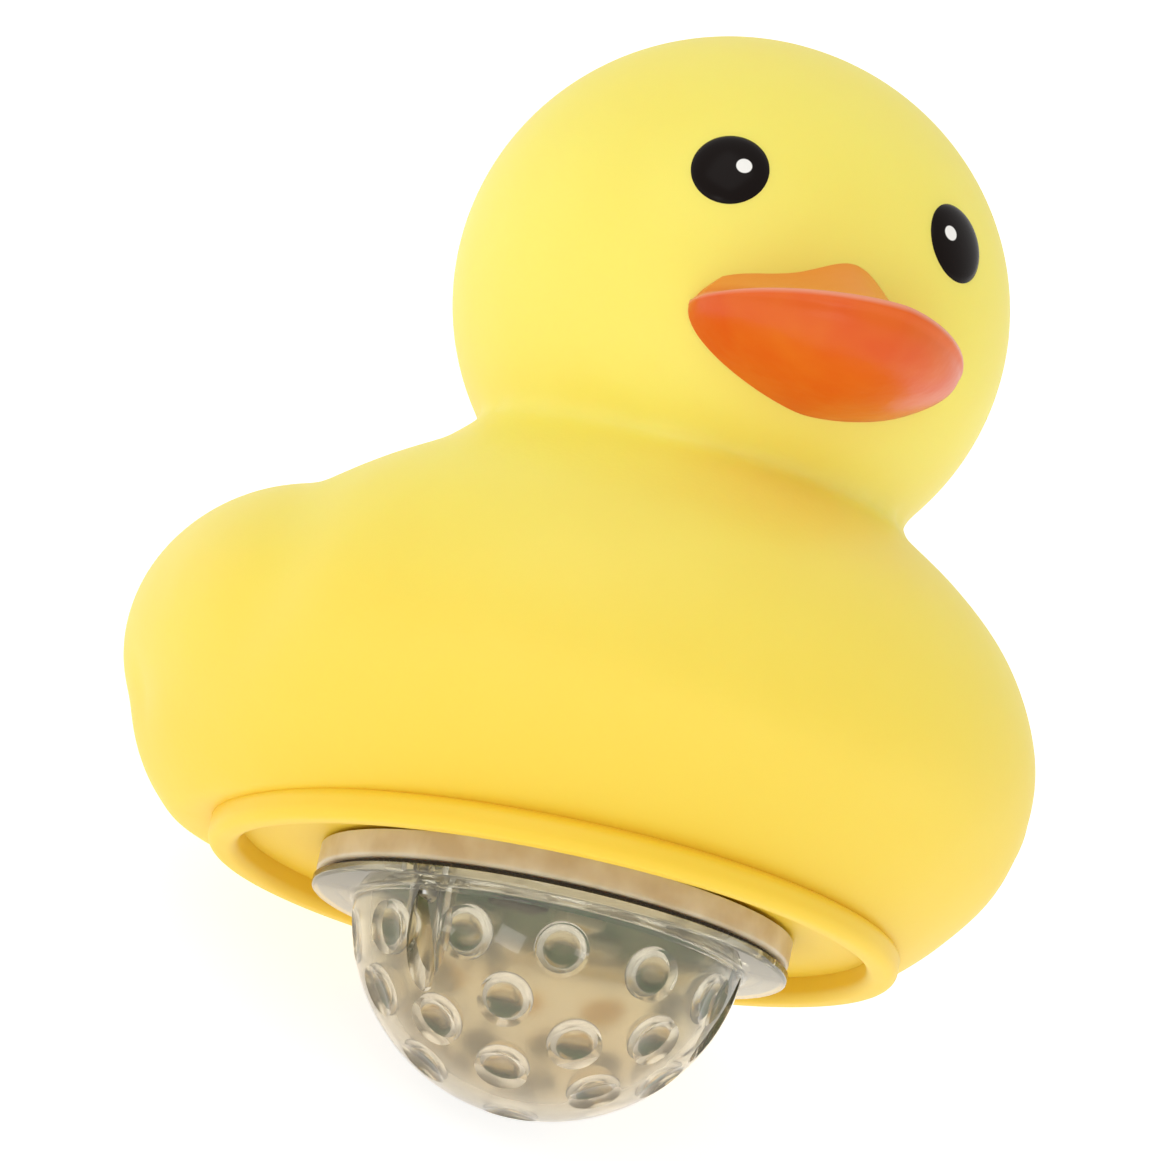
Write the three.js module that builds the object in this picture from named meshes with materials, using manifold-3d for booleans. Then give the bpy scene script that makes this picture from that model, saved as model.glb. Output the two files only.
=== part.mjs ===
// Light-up bath duck: a blown vinyl duck with a clear dimpled lamp under its foot rim.
// Millimetres, +Z up. The duck is drawn upright on its rim axis, facing -Y, and then
// leaned back onto the lamp dome and the rear of the rim, which is how it comes to rest.
import * as THREE from 'three';
import { mergeVertices } from 'three/addons/utils/BufferGeometryUtils.js';
import Module from 'manifold-3d';

const wasm = await Module();
wasm.setup();

// Fit between pieces that touch
const GAP = 0.3;

// Vinyl skin
const SKIN_WALL = 2.2;

// Foot rim: a rounded ring under the body with a shallow well inside it
const RIM_RADIUS = 44.0;
const RIM_WIDTH = 4.0;
const RIM_ROUND = 1.5;
const RIM_TOP = 5.0;
const RIM_BACK = 1.0;
const WELL_DEPTH = 3.3;

// Body as stations: height, half width, front, back and widest place along Y
const BODY_STATIONS = [
  { z: 4.0, side: 47.0, front: -40.0, back: 49.5, middle: 10.5 },
  { z: 6.0, side: 49.2, front: -42.0, back: 51.5, middle: 10.1 },
  { z: 9.0, side: 52.3, front: -45.1, back: 54.0, middle: 8.7 },
  { z: 14.0, side: 56.0, front: -49.8, back: 58.5, middle: 3.9 },
  { z: 20.0, side: 57.1, front: -54.5, back: 67.5, middle: 1.0 },
  { z: 27.0, side: 55.8, front: -56.1, back: 71.0, middle: -3.6 },
  { z: 34.0, side: 52.3, front: -55.6, back: 70.0, middle: -6.4 },
  { z: 41.0, side: 46.8, front: -52.9, back: 61.0, middle: -8.9 },
  { z: 47.0, side: 39.5, front: -47.9, back: 42.0, middle: -10.8 },
  { z: 52.0, side: 31.8, front: -41.6, back: 26.0, middle: -12.4 },
  { z: 56.0, side: 27.2, front: -36.0, back: 13.0, middle: -14.1 },
  { z: 60.0, side: 16.5, front: -28.0, back: -3.0, middle: -15.9 },
];

// Head
const HEAD_RADIUS = 35.1;
const HEAD_HALF_HEIGHT = 34.0;
const HEAD_CENTRE = new THREE.Vector3(0, -17.6, 78.3);

// Bill: lip plane height, half width and reach, then the depths above and below it
const BILL_LIP = 68.5;
const BILL_ROOT = -46.0;
const BILL_HALF_WIDTH = 17.4;
const BILL_REACH = 18.0;
const BILL_DROP = 9.8;
const BILL_CROWN = 3.2;
const BILL_RIDGE = { width: 9.0, reach: 17.5, rise: 7.4, tip: 1.2 };

// Eyes: low round bosses either side of the bill
const EYE_TURN = 26.1;
const EYE_RISE = 10.1;
const EYE_RADIUS = 4.9;
const EYE_PROUD = 0.9;

// Wings and tail
const WING = {
  x: 39.2, y: 4.3, z: 26.0, thick: 19.5, length: 36.8, height: 20.0, pitch: 4.6, close: -3.0, tuck: 15.8,
};
const TAIL = { y: 55.0, z: 41.0, side: 23.0, length: 27.0, thick: 12.0, pitch: 30.0 };

// Lamp: collar under the well floor, groove for the skin, flange inside the duck
const COLLAR_RADIUS = 30.1;
const COLLAR_BOTTOM = 0.1;
const COLLAR_ROUND = 0.5;
const GROOVE_RADIUS = 27.4;
const GROOVE_SLACK = 0.3;
const INNER_FLANGE_RADIUS = 30.6;
const INNER_FLANGE_THICKNESS = 1.6;
const CUP_WALL = 1.6;
const POST_RADIUS = 3.0;

// Clear dome
const DOME_RADIUS = 24.9;
const DOME_WALL = 2.2;
const DOME_CENTRE_RISE = 0.9;
const FLANGE_RADIUS = 30.3;
const FLANGE_THICKNESS = 1.2;
const FLANGE_ROUND = 0.5;

// Dimples in the dome, as rows of a polar angle from the bottom, a count and a first turn
const DIMPLE_RADIUS = 3.0;
const DIMPLE_DEPTH = 0.8;
const DIMPLE_ROWS = [
  { polar: 73.0, count: 12, turn: 15.0 },
  { polar: 55.0, count: 6, turn: 30.0 },
  { polar: 45.5, count: 6, turn: 0.0 },
  { polar: 30.5, count: 6, turn: 30.0 },
  { polar: 0.0, count: 1, turn: 0.0 },
];

// Screws: three, in pockets that run up the dome
const SCREW_COUNT = 3;
const SCREW_CIRCLE = 22.6;
const SCREW_TURN = 60.0;
const POCKET_RADIUS = 2.2;
const POCKET_WALL = 1.0;
const SCREW_HEAD_RADIUS = 1.9;
const SCREW_HEAD_HEIGHT = 1.3;
const SCREW_RADIUS = 1.0;
const SCREW_LENGTH = 6.5;
const SCREW_SEAT = 0.2;
const SCREW_SLOT = 0.5;

// Seal between collar and dome flange
const SEAL_GAP = 0.8;
const SEAL_FIT = 0.15;
const SEAL_OUTER = 29.3;
const SEAL_INNER = 27.2;

// Circuit board and what it carries
const BOARD_RADIUS = 22.2;
const BOARD_THICKNESS = 1.2;
const BOARD_TOP = 1.6;
const LED_COUNT = 3;
const LED_CIRCLE = 9.5;
const LED_WINDOW = 1.8;
const LED_SIZE = { x: 5.0, y: 5.0, z: 1.6 };
const CHIP_SIZE = { x: 6.0, y: 5.0, z: 1.7 };
const CHIP_PLACE = { x: -9.0, y: -12.5 };
const SWITCH_RADIUS = 2.4;
const SWITCH_HEIGHT = 6.0;
const SWITCH_PLACE = { x: 0.0, y: 17.0 };

// Two AAA cells side by side in a tray
const CELL_RADIUS = 5.2;
const CELL_LENGTH = 43.4;
const CELL_NIPPLE = { radius: 1.9, length: 1.0 };
const CELL_COUNT = 2;
const CELL_PITCH = 11.6;
const CELL_HEADROOM = 0.8;
const TRAY_WALL = 1.2;
const CONTACT_THICKNESS = 0.5;
const CONTACT_WIDTH = 6.0;
const CONTACT_HEIGHT = 8.0;

// Fineness of round shapes
const SIDES = 40;
const LENS_SIDES = 36;
const DIMPLE_SIDES = 9;
const COARSE_SIDES = 20;
const OUTER_RINGS = 14;
const INNER_RINGS = 8;

// Makes a closed solid from a three.js geometry, merging its seams and poles
function solid(geometry) {
  const bare = geometry.clone();
  bare.deleteAttribute('normal');
  bare.deleteAttribute('uv');
  const merged = mergeVertices(bare, 1e-4);
  const corners = merged.index.array;
  const kept = [];
  for (let i = 0; i < corners.length; i += 3) {
    const [a, b, c] = corners.slice(i, i + 3);
    if (a !== b && b !== c && c !== a) kept.push(a, b, c);
  }
  return new wasm.Manifold(new wasm.Mesh({
    numProp: 3,
    vertProperties: new Float32Array(merged.attributes.position.array),
    triVerts: new Uint32Array(kept),
  }));
}

function geometryOf(manifold) {
  const mesh = manifold.getMesh();
  const geometry = new THREE.BufferGeometry();
  geometry.setAttribute('position', new THREE.Float32BufferAttribute(mesh.vertProperties, 3));
  geometry.setIndex(new THREE.BufferAttribute(new Uint32Array(mesh.triVerts), 1));
  geometry.computeVertexNormals();
  return geometry;
}

// Turns a profile of [radius, height] pairs about Z
function turned(profile, sides = SIDES) {
  const points = profile.map(([radius, height]) => new THREE.Vector2(radius, height));
  return new THREE.LatheGeometry(points, sides).rotateX(Math.PI / 2);
}

// A ring of rectangular section
function ring(inner, outer, bottom, top, sides = SIDES) {
  return turned([[inner, bottom], [outer, bottom], [outer, top], [inner, top], [inner, bottom]], sides);
}

// A round bar standing on Z
function bar(radius, bottom, top, sides = COARSE_SIDES) {
  const length = top - bottom;
  return new THREE.CylinderGeometry(radius, radius, length, sides)
    .rotateX(Math.PI / 2).translate(0, 0, bottom + length / 2);
}

function ellipsoid(x, y, z, sides) {
  return new THREE.SphereGeometry(1, sides, sides / 2).rotateX(Math.PI / 2).scale(x, y, z);
}

// Points of a quarter or part circle from one angle to another, in degrees
function arc(centreRadius, centreHeight, radius, from, to, steps) {
  return Array.from({ length: steps + 1 }, (_, step) => {
    const angle = THREE.MathUtils.degToRad(from + (to - from) * step / steps);
    return [centreRadius + radius * Math.cos(angle), centreHeight + radius * Math.sin(angle)];
  });
}

// Smooth value of one station field at a height
function stationCurve(field) {
  const points = BODY_STATIONS.map((station) => new THREE.Vector2(station.z, station[field]));
  return new THREE.SplineCurve(points);
}

// Body drawn as a turned barrel of radius 1 whose rings are then stretched to the stations
function body(inset, rings, sides) {
  const curves = Object.fromEntries(['side', 'front', 'back', 'middle'].map((f) => [f, stationCurve(f)]));
  const profile = [[0, 0]];
  for (let i = 0; i <= rings; i++) profile.push([1, i / rings]);
  profile.push([0, 1]);
  const barrel = turned(profile, sides);
  const place = barrel.attributes.position;
  for (let i = 0; i < place.count; i++) {
    const t = THREE.MathUtils.clamp(place.getZ(i), 0, 1);
    const at = (field) => curves[field].getPoint(t).y;
    const height = curves.side.getPoint(t).x;
    const middle = at('middle');
    const y = place.getY(i);
    const depth = (y < 0 ? middle - at('front') : at('back') - middle) - inset;
    place.setXYZ(i, place.getX(i) * (at('side') - inset), middle + y * depth, height);
  }
  return barrel;
}

function moved(geometry, x, y, z) {
  return geometry.translate(x, y, z);
}

function wing(side, inset, sides) {
  const lobe = ellipsoid(WING.thick - inset, WING.length - inset, WING.height - inset, sides);
  lobe.rotateX(THREE.MathUtils.degToRad(WING.pitch));
  lobe.rotateY(THREE.MathUtils.degToRad(-side * WING.tuck));
  lobe.rotateZ(THREE.MathUtils.degToRad(side * WING.close));
  return solid(moved(lobe, side * WING.x, WING.y, WING.z));
}

function tail(inset, sides) {
  const lobe = ellipsoid(TAIL.side - inset, TAIL.length - inset, TAIL.thick - inset, sides);
  lobe.rotateX(THREE.MathUtils.degToRad(TAIL.pitch));
  return solid(moved(lobe, 0, TAIL.y, TAIL.z));
}

// Bill: a half ellipsoid hanging from the lip, a low crown over it and a ridge to the forehead
function bill(inset, sides) {
  const half = BILL_HALF_WIDTH - inset;
  const reach = BILL_REACH - inset;
  const blade = ellipsoid(half, reach, 1, sides);
  const place = blade.attributes.position;
  for (let i = 0; i < place.count; i++) {
    const z = place.getZ(i);
    place.setZ(i, z * (z < 0 ? BILL_DROP - inset : BILL_CROWN - inset / 2));
  }
  const ridge = ellipsoid(BILL_RIDGE.width - inset, BILL_RIDGE.reach - inset, BILL_RIDGE.rise - inset, sides);
  ridge.translate(0, BILL_RIDGE.tip, 0);
  return solid(moved(blade, 0, BILL_ROOT, BILL_LIP)).add(solid(moved(ridge, 0, BILL_ROOT, BILL_LIP)));
}

function eye(side) {
  const boss = ellipsoid(EYE_RADIUS, EYE_PROUD * 2, EYE_RADIUS, COARSE_SIDES);
  boss.translate(0, -(HEAD_RADIUS - EYE_PROUD), 0);
  boss.rotateX(-THREE.MathUtils.degToRad(EYE_RISE));
  boss.rotateZ(side * THREE.MathUtils.degToRad(EYE_TURN));
  return solid(moved(boss, ...HEAD_CENTRE));
}

// Everything the mould gives in one skin, inset for the hollow
function duckForm(inset, rings, sides) {
  const radius = HEAD_RADIUS - inset;
  const head = moved(ellipsoid(radius, radius, HEAD_HALF_HEIGHT - inset, sides), ...HEAD_CENTRE);
  const lobeSides = sides / 2;
  return solid(body(inset, rings, sides)).add(solid(head)).add(tail(inset, lobeSides))
    .add(wing(-1, inset, lobeSides)).add(wing(1, inset, lobeSides)).add(bill(inset, lobeSides + 8));
}

// Heights that the pieces share
const wellFloor = WELL_DEPTH;
const skinTop = wellFloor + SKIN_WALL;
const collarTop = wellFloor - GAP;
const flangeTop = COLLAR_BOTTOM - SEAL_GAP;
const flangeBottom = flangeTop - FLANGE_THICKNESS;
const domeCentre = flangeTop + DOME_CENTRE_RISE;
const screwSeat = flangeBottom + SCREW_SEAT;
const cupOuter = GROOVE_RADIUS - GROOVE_SLACK;
const cupInner = cupOuter - CUP_WALL;
const trayBottom = BOARD_TOP + SWITCH_HEIGHT + GAP;
const cellCentre = trayBottom + TRAY_WALL + CELL_RADIUS + GAP;
const cupTop = cellCentre + CELL_RADIUS + CELL_HEADROOM + CUP_WALL;

function duckShell() {
  const rimInner = RIM_RADIUS - RIM_WIDTH;
  const rim = turned([
    [0, wellFloor],
    [rimInner, wellFloor],
    ...arc(rimInner + RIM_ROUND, RIM_ROUND, RIM_ROUND, 180, 270, 5),
    ...arc(RIM_RADIUS - RIM_ROUND, RIM_ROUND, RIM_ROUND, 270, 360, 5),
    ...arc(RIM_RADIUS - RIM_ROUND, RIM_TOP - RIM_ROUND, RIM_ROUND, 0, 60, 4),
    [rimInner, RIM_TOP + RIM_ROUND],
    [0, RIM_TOP + RIM_ROUND],
  ]).translate(0, RIM_BACK, 0);
  const below = bar(2 * RIM_RADIUS, -RIM_TOP, skinTop);
  const hollow = duckForm(SKIN_WALL, INNER_RINGS, COARSE_SIDES).subtract(solid(below));
  const hole = solid(bar(GROOVE_RADIUS, -RIM_TOP, skinTop + RIM_TOP, SIDES));
  const well = solid(bar(rimInner, -RIM_TOP, wellFloor, SIDES).translate(0, RIM_BACK, 0));
  return duckForm(0, OUTER_RINGS, SIDES).subtract(well).add(solid(rim)).add(eye(-1)).add(eye(1))
    .subtract(hollow).subtract(hole);
}

// Places of the screws round the lamp axis
function screwPlaces() {
  return Array.from({ length: SCREW_COUNT }, (_, i) => {
    const angle = THREE.MathUtils.degToRad(SCREW_TURN + i * 360 / SCREW_COUNT);
    return { x: SCREW_CIRCLE * Math.sin(angle), y: -SCREW_CIRCLE * Math.cos(angle) };
  });
}

// Cup moulded with the collar, the groove for the skin, the inner flange and three screw posts
function lampHousing() {
  const innerFlangeBottom = skinTop + GAP;
  const innerFlangeTop = innerFlangeBottom + INNER_FLANGE_THICKNESS;
  const cup = solid(turned([
    [cupInner, COLLAR_BOTTOM],
    [COLLAR_RADIUS - COLLAR_ROUND, COLLAR_BOTTOM],
    [COLLAR_RADIUS, COLLAR_BOTTOM + COLLAR_ROUND],
    [COLLAR_RADIUS, collarTop - COLLAR_ROUND],
    [COLLAR_RADIUS - COLLAR_ROUND, collarTop],
    [cupOuter, collarTop],
    [cupOuter, innerFlangeBottom],
    [INNER_FLANGE_RADIUS, innerFlangeBottom],
    [INNER_FLANGE_RADIUS - 1, innerFlangeTop],
    [cupOuter, innerFlangeTop],
    [cupOuter, cupTop - CUP_WALL],
    [cupOuter - CUP_WALL, cupTop],
    [0, cupTop],
    [0, cupTop - CUP_WALL],
    [cupInner, cupTop - CUP_WALL],
    [cupInner, COLLAR_BOTTOM],
  ]));
  const inside = solid(bar(cupInner + CUP_WALL / 2, COLLAR_BOTTOM, cupTop, SIDES));
  return screwPlaces().reduce((housing, { x, y }) => {
    const post = solid(bar(POST_RADIUS, COLLAR_BOTTOM, trayBottom - GAP).translate(x, y, 0));
    const bore = bar(SCREW_RADIUS + GAP, COLLAR_BOTTOM - 1, screwSeat + SCREW_LENGTH + GAP);
    return housing.add(post.intersect(inside)).subtract(solid(bore.translate(x, y, 0)));
  }, cup);
}

function sealRing() {
  return solid(ring(SEAL_INNER, SEAL_OUTER, flangeTop + SEAL_FIT, COLLAR_BOTTOM - SEAL_FIT));
}

// Clear dome: a thin bowl with a flange, three screw pockets and rows of dimples outside
function domeLens() {
  const inner = DOME_RADIUS - DOME_WALL;
  const startAngle = THREE.MathUtils.radToDeg(Math.asin((flangeBottom - domeCentre) / DOME_RADIUS));
  const lip = Math.sqrt(inner ** 2 - (flangeTop - domeCentre) ** 2);
  const lipAngle = THREE.MathUtils.radToDeg(Math.asin((flangeTop - domeCentre) / inner));
  const bowl = solid(turned([
    ...arc(0, domeCentre, DOME_RADIUS, -90, startAngle, LENS_SIDES / 3),
    [FLANGE_RADIUS - FLANGE_ROUND, flangeBottom],
    [FLANGE_RADIUS, flangeBottom + FLANGE_ROUND],
    [FLANGE_RADIUS, flangeTop],
    [lip, flangeTop],
    ...arc(0, domeCentre, inner, lipAngle, -90, LENS_SIDES / 4).slice(1),
  ], LENS_SIDES));
  const outside = solid(new THREE.SphereGeometry(DOME_RADIUS, LENS_SIDES, LENS_SIDES / 2)
    .rotateX(Math.PI / 2).translate(0, 0, domeCentre));
  const pocketed = screwPlaces().reduce((lens, { x, y }) => {
    const wall = solid(bar(POCKET_RADIUS + POCKET_WALL, -DOME_RADIUS, flangeTop).translate(x, y, 0));
    const pocket = solid(bar(POCKET_RADIUS, -2 * DOME_RADIUS, screwSeat).translate(x, y, 0));
    const bore = solid(bar(SCREW_RADIUS + GAP, screwSeat - 1, flangeTop + 1).translate(x, y, 0));
    return lens.add(wall.intersect(outside)).subtract(pocket).subtract(bore);
  }, bowl);
  const chordHeight = Math.sqrt(DOME_RADIUS ** 2 - DIMPLE_RADIUS ** 2);
  const dentDepth = DIMPLE_DEPTH - (DOME_RADIUS - chordHeight);
  const ball = (DIMPLE_RADIUS ** 2 + dentDepth ** 2) / (2 * dentDepth);
  const reach = chordHeight - dentDepth + ball;
  return DIMPLE_ROWS.reduce((lens, { polar, count, turn }) => {
    for (let i = 0; i < count; i++) {
      const dent = new THREE.SphereGeometry(ball, DIMPLE_SIDES, DIMPLE_SIDES + 4)
        .translate(0, -reach, 0)
        .rotateX(THREE.MathUtils.degToRad(90 - polar))
        .rotateZ(THREE.MathUtils.degToRad(turn + i * 360 / count));
      lens = lens.subtract(solid(dent.translate(0, 0, domeCentre)));
    }
    return lens;
  }, pocketed);
}

function domeScrew({ x, y }) {
  const head = screwSeat - GAP;
  const under = turned([
    [0, head - SCREW_HEAD_HEIGHT],
    [SCREW_HEAD_RADIUS * 0.7, head - SCREW_HEAD_HEIGHT],
    [SCREW_HEAD_RADIUS, head - SCREW_HEAD_HEIGHT / 2],
    [SCREW_HEAD_RADIUS, head],
    [SCREW_RADIUS, head],
    [SCREW_RADIUS, screwSeat + SCREW_LENGTH - SCREW_RADIUS],
    [0, screwSeat + SCREW_LENGTH],
  ], COARSE_SIDES);
  const slot = (turn) => solid(new THREE.BoxGeometry(SCREW_HEAD_RADIUS * 1.3, SCREW_SLOT, SCREW_HEAD_HEIGHT)
    .rotateZ(turn).translate(0, 0, head - SCREW_HEAD_HEIGHT));
  return solid(under).subtract(slot(0)).subtract(slot(Math.PI / 2)).translate(x, y, 0);
}

// Round board notched for the screw posts and seated on their shoulders
function circuitBoard() {
  return screwPlaces().reduce((board, { x, y }) => {
    const notch = bar(POST_RADIUS + GAP, BOARD_TOP - 2 * BOARD_THICKNESS, BOARD_TOP + 1).translate(x, y, 0);
    return board.subtract(solid(notch));
  }, solid(bar(BOARD_RADIUS, BOARD_TOP - BOARD_THICKNESS, BOARD_TOP, SIDES)));
}

function led(index) {
  const angle = index * 2 * Math.PI / LED_COUNT;
  const { x, y, z } = LED_SIZE;
  const top = BOARD_TOP - BOARD_THICKNESS - GAP;
  const lens = solid(bar(LED_WINDOW, top - z - 1, top - z + LED_WINDOW / 4));
  return solid(new THREE.BoxGeometry(x, y, z).translate(0, 0, top - z / 2)).subtract(lens)
    .translate(LED_CIRCLE * Math.sin(angle), -LED_CIRCLE * Math.cos(angle), 0);
}

function controlChip() {
  const { x, y, z } = CHIP_SIZE;
  const bottom = BOARD_TOP - BOARD_THICKNESS - GAP;
  return solid(new THREE.BoxGeometry(x, y, z).translate(CHIP_PLACE.x, CHIP_PLACE.y, bottom - z / 2));
}

function tiltSwitch() {
  const bottom = BOARD_TOP + GAP;
  const can = bar(SWITCH_RADIUS, bottom, BOARD_TOP + SWITCH_HEIGHT);
  return solid(can.translate(SWITCH_PLACE.x, SWITCH_PLACE.y, 0));
}

// Disc that closes off the cell space, resting on the screw posts, with a rib between the cells
function batteryTray() {
  const top = trayBottom + TRAY_WALL;
  const ribLength = CELL_LENGTH * 0.8;
  const rib = new THREE.BoxGeometry(ribLength, CELL_PITCH - 2 * CELL_RADIUS - 2 * GAP, CELL_RADIUS)
    .translate(0, 0, top + CELL_RADIUS / 2 - TRAY_WALL / 2);
  const passage = bar(SWITCH_RADIUS + GAP, trayBottom - 1, top + 1);
  passage.translate(SWITCH_PLACE.x, -SWITCH_PLACE.y, 0);
  return solid(bar(cupInner - GAP, trayBottom, top, SIDES)).add(solid(rib)).subtract(solid(passage));
}

// A cell lying along X, with its raised pole at the end that the sign gives
function cell(index) {
  const sign = index % 2 === 0 ? 1 : -1;
  const half = CELL_LENGTH / 2;
  const shape = turned([
    [0, -half],
    [CELL_RADIUS, -half],
    [CELL_RADIUS, half],
    [CELL_NIPPLE.radius, half],
    [CELL_NIPPLE.radius, half + CELL_NIPPLE.length],
    [0, half + CELL_NIPPLE.length],
  ], COARSE_SIDES).translate(0, 0, -CELL_NIPPLE.length / 2).rotateY(sign * Math.PI / 2);
  return solid(shape.translate(0, (index - (CELL_COUNT - 1) / 2) * CELL_PITCH, cellCentre));
}

// Contact leaves stand on the tray at both ends of the cells
function contact(side, width, y) {
  const x = side * (CELL_LENGTH / 2 + CELL_NIPPLE.length / 2 + GAP + CONTACT_THICKNESS / 2);
  const bottom = trayBottom + TRAY_WALL + GAP;
  return solid(new THREE.BoxGeometry(CONTACT_THICKNESS, width, CONTACT_HEIGHT)
    .translate(x, y, bottom + CONTACT_HEIGHT / 2));
}

const vinyl = new THREE.MeshStandardMaterial({ color: 0xf6dc55, roughness: 0.45 });
const frosted = new THREE.MeshStandardMaterial({ color: 0xc9b095, roughness: 0.4 });
const clear = new THREE.MeshStandardMaterial({
  color: 0xe9e4d8, roughness: 0.05, transparent: true, opacity: 0.35,
});
const rubber = new THREE.MeshStandardMaterial({ color: 0x1b1a19, roughness: 0.8 });
const steel = new THREE.MeshStandardMaterial({ color: 0xb9babb, roughness: 0.3, metalness: 1 });
const board = new THREE.MeshStandardMaterial({ color: 0x4f7a5c, roughness: 0.5 });
const white = new THREE.MeshStandardMaterial({ color: 0xf1efe6, roughness: 0.4 });
const black = new THREE.MeshStandardMaterial({ color: 0x1a1a1c, roughness: 0.5 });
const jacket = new THREE.MeshStandardMaterial({ color: 0x3c4148, roughness: 0.35, metalness: 0.6 });

const duck = new THREE.Group();

function addPiece(name, manifold, material) {
  const mesh = new THREE.Mesh(geometryOf(manifold), material);
  mesh.name = name;
  duck.add(mesh);
}

addPiece('duck_shell', duckShell(), vinyl);
addPiece('lamp_housing', lampHousing(), frosted);
addPiece('seal_ring', sealRing(), rubber);
addPiece('dome_lens', domeLens(), clear);
screwPlaces().forEach((place, i) => addPiece(`dome_screw_${i + 1}`, domeScrew(place), steel));
addPiece('circuit_board', circuitBoard(), board);
for (let i = 0; i < LED_COUNT; i++) addPiece(`led_${i + 1}`, led(i), white);
addPiece('control_chip', controlChip(), black);
addPiece('tilt_switch', tiltSwitch(), steel);
addPiece('battery_tray', batteryTray(), black);
for (let i = 0; i < CELL_COUNT; i++) addPiece(`battery_${i + 1}`, cell(i), jacket);
addPiece('contact_bridge', contact(-1, CELL_PITCH + CONTACT_WIDTH, 0), steel);
addPiece('contact_minus', contact(1, CONTACT_WIDTH, CELL_PITCH / 2), steel);
addPiece('contact_plus', contact(1, CONTACT_WIDTH, -CELL_PITCH / 2), steel);

// Leans the duck back until the dome and the rear of the rim touch one level plane
const rimReach = RIM_BACK + RIM_RADIUS - RIM_ROUND;
const climb = Math.atan2(RIM_ROUND - domeCentre, rimReach);
const lean = climb + Math.asin((DOME_RADIUS - RIM_ROUND) / Math.hypot(rimReach, RIM_ROUND - domeCentre));
duck.rotation.x = -lean;
duck.position.z = DOME_RADIUS - domeCentre * Math.cos(lean);

// The resting duck stands with the middle of its outline over the origin
const outline = new THREE.Box3().setFromObject(duck, true);
duck.position.y = -(outline.min.y + outline.max.y) / 2;
duck.position.z -= outline.min.z;

export default duck;
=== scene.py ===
import math

import bmesh
import bpy
from mathutils import Matrix, Vector
from mathutils.kdtree import KDTree


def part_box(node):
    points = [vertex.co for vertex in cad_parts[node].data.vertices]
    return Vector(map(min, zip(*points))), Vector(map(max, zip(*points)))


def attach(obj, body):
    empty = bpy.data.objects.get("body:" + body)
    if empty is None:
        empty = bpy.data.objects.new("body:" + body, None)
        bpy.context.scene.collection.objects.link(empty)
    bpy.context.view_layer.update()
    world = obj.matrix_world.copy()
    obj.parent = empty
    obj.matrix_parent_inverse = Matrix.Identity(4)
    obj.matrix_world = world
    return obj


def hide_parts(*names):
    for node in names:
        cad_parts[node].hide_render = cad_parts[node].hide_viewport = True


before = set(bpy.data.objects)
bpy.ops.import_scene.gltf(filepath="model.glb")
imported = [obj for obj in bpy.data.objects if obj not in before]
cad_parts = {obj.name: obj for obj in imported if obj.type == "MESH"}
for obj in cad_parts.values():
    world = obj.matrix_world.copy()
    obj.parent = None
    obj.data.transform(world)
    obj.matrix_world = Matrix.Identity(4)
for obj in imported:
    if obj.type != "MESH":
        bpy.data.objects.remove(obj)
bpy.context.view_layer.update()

# How the duck lies: every piece is drawn upright on the lamp axis in millimetres, facing -Y, with the foot of
# the rim at height 0, and is then laid back onto the dome. The seal is a flat ring about that axis, so the box
# of its CAD node tells how far the duck leans and where the axis is.
MM = 0.001
SEAL_THICKNESS = 0.5
SEAL_MIDDLE = -0.3

seal_low, seal_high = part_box("seal_ring")
seal_width, seal_depth, seal_rise = (seal_high - seal_low) / MM
LEAN = math.atan2(
    seal_width * seal_rise - SEAL_THICKNESS * seal_depth,
    seal_width * seal_depth - SEAL_THICKNESS * seal_rise,
)
LAID_BACK = Matrix.Rotation(-LEAN, 4, "X")
UPRIGHT_TO_SCENE = (
    Matrix.Translation((seal_low + seal_high) / 2)
    @ LAID_BACK
    @ Matrix.Scale(MM, 4)
    @ Matrix.Translation((0, 0, -SEAL_MIDDLE))
)

# The camera of the photograph: it stands half a metre off, below the duck's own horizon and to its right-hand
# side, and is rolled. The point where the lamp axis meets the foot of the rim shows at LAMP_PIXEL.
PHOTO_SIDE = 1162
LAMP_PIXEL = Vector((551, 923))
PIXEL_SPAN = 0.125
CAMERA_PIXELS_OFF = 4000
CAMERA_BELOW = math.radians(14.7)
CAMERA_TURN = math.radians(-19.2)
CAMERA_ROLL = math.radians(12.22)
SENSOR_WIDTH = 36

across = Vector((math.cos(CAMERA_TURN), math.sin(CAMERA_TURN), 0))
back = Matrix.Rotation(CAMERA_BELOW, 3, across) @ Vector((math.sin(CAMERA_TURN), -math.cos(CAMERA_TURN), 0))
turned = Matrix((across, back.cross(across), back)).transposed() @ Matrix.Rotation(CAMERA_ROLL, 3, "Z")
aside, lower = LAMP_PIXEL - Vector((PHOTO_SIDE, PHOTO_SIDE)) / 2
stand = turned @ Vector((-aside, lower, CAMERA_PIXELS_OFF)) * PIXEL_SPAN

camera = bpy.data.objects.new("camera", bpy.data.cameras.new("camera"))
camera.data.sensor_width = SENSOR_WIDTH
camera.data.lens = SENSOR_WIDTH * CAMERA_PIXELS_OFF / PHOTO_SIDE
camera.matrix_world = Matrix.Translation(UPRIGHT_TO_SCENE @ stand) @ LAID_BACK @ turned.to_4x4()
bpy.context.scene.collection.objects.link(camera)
bpy.context.scene.camera = camera

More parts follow.
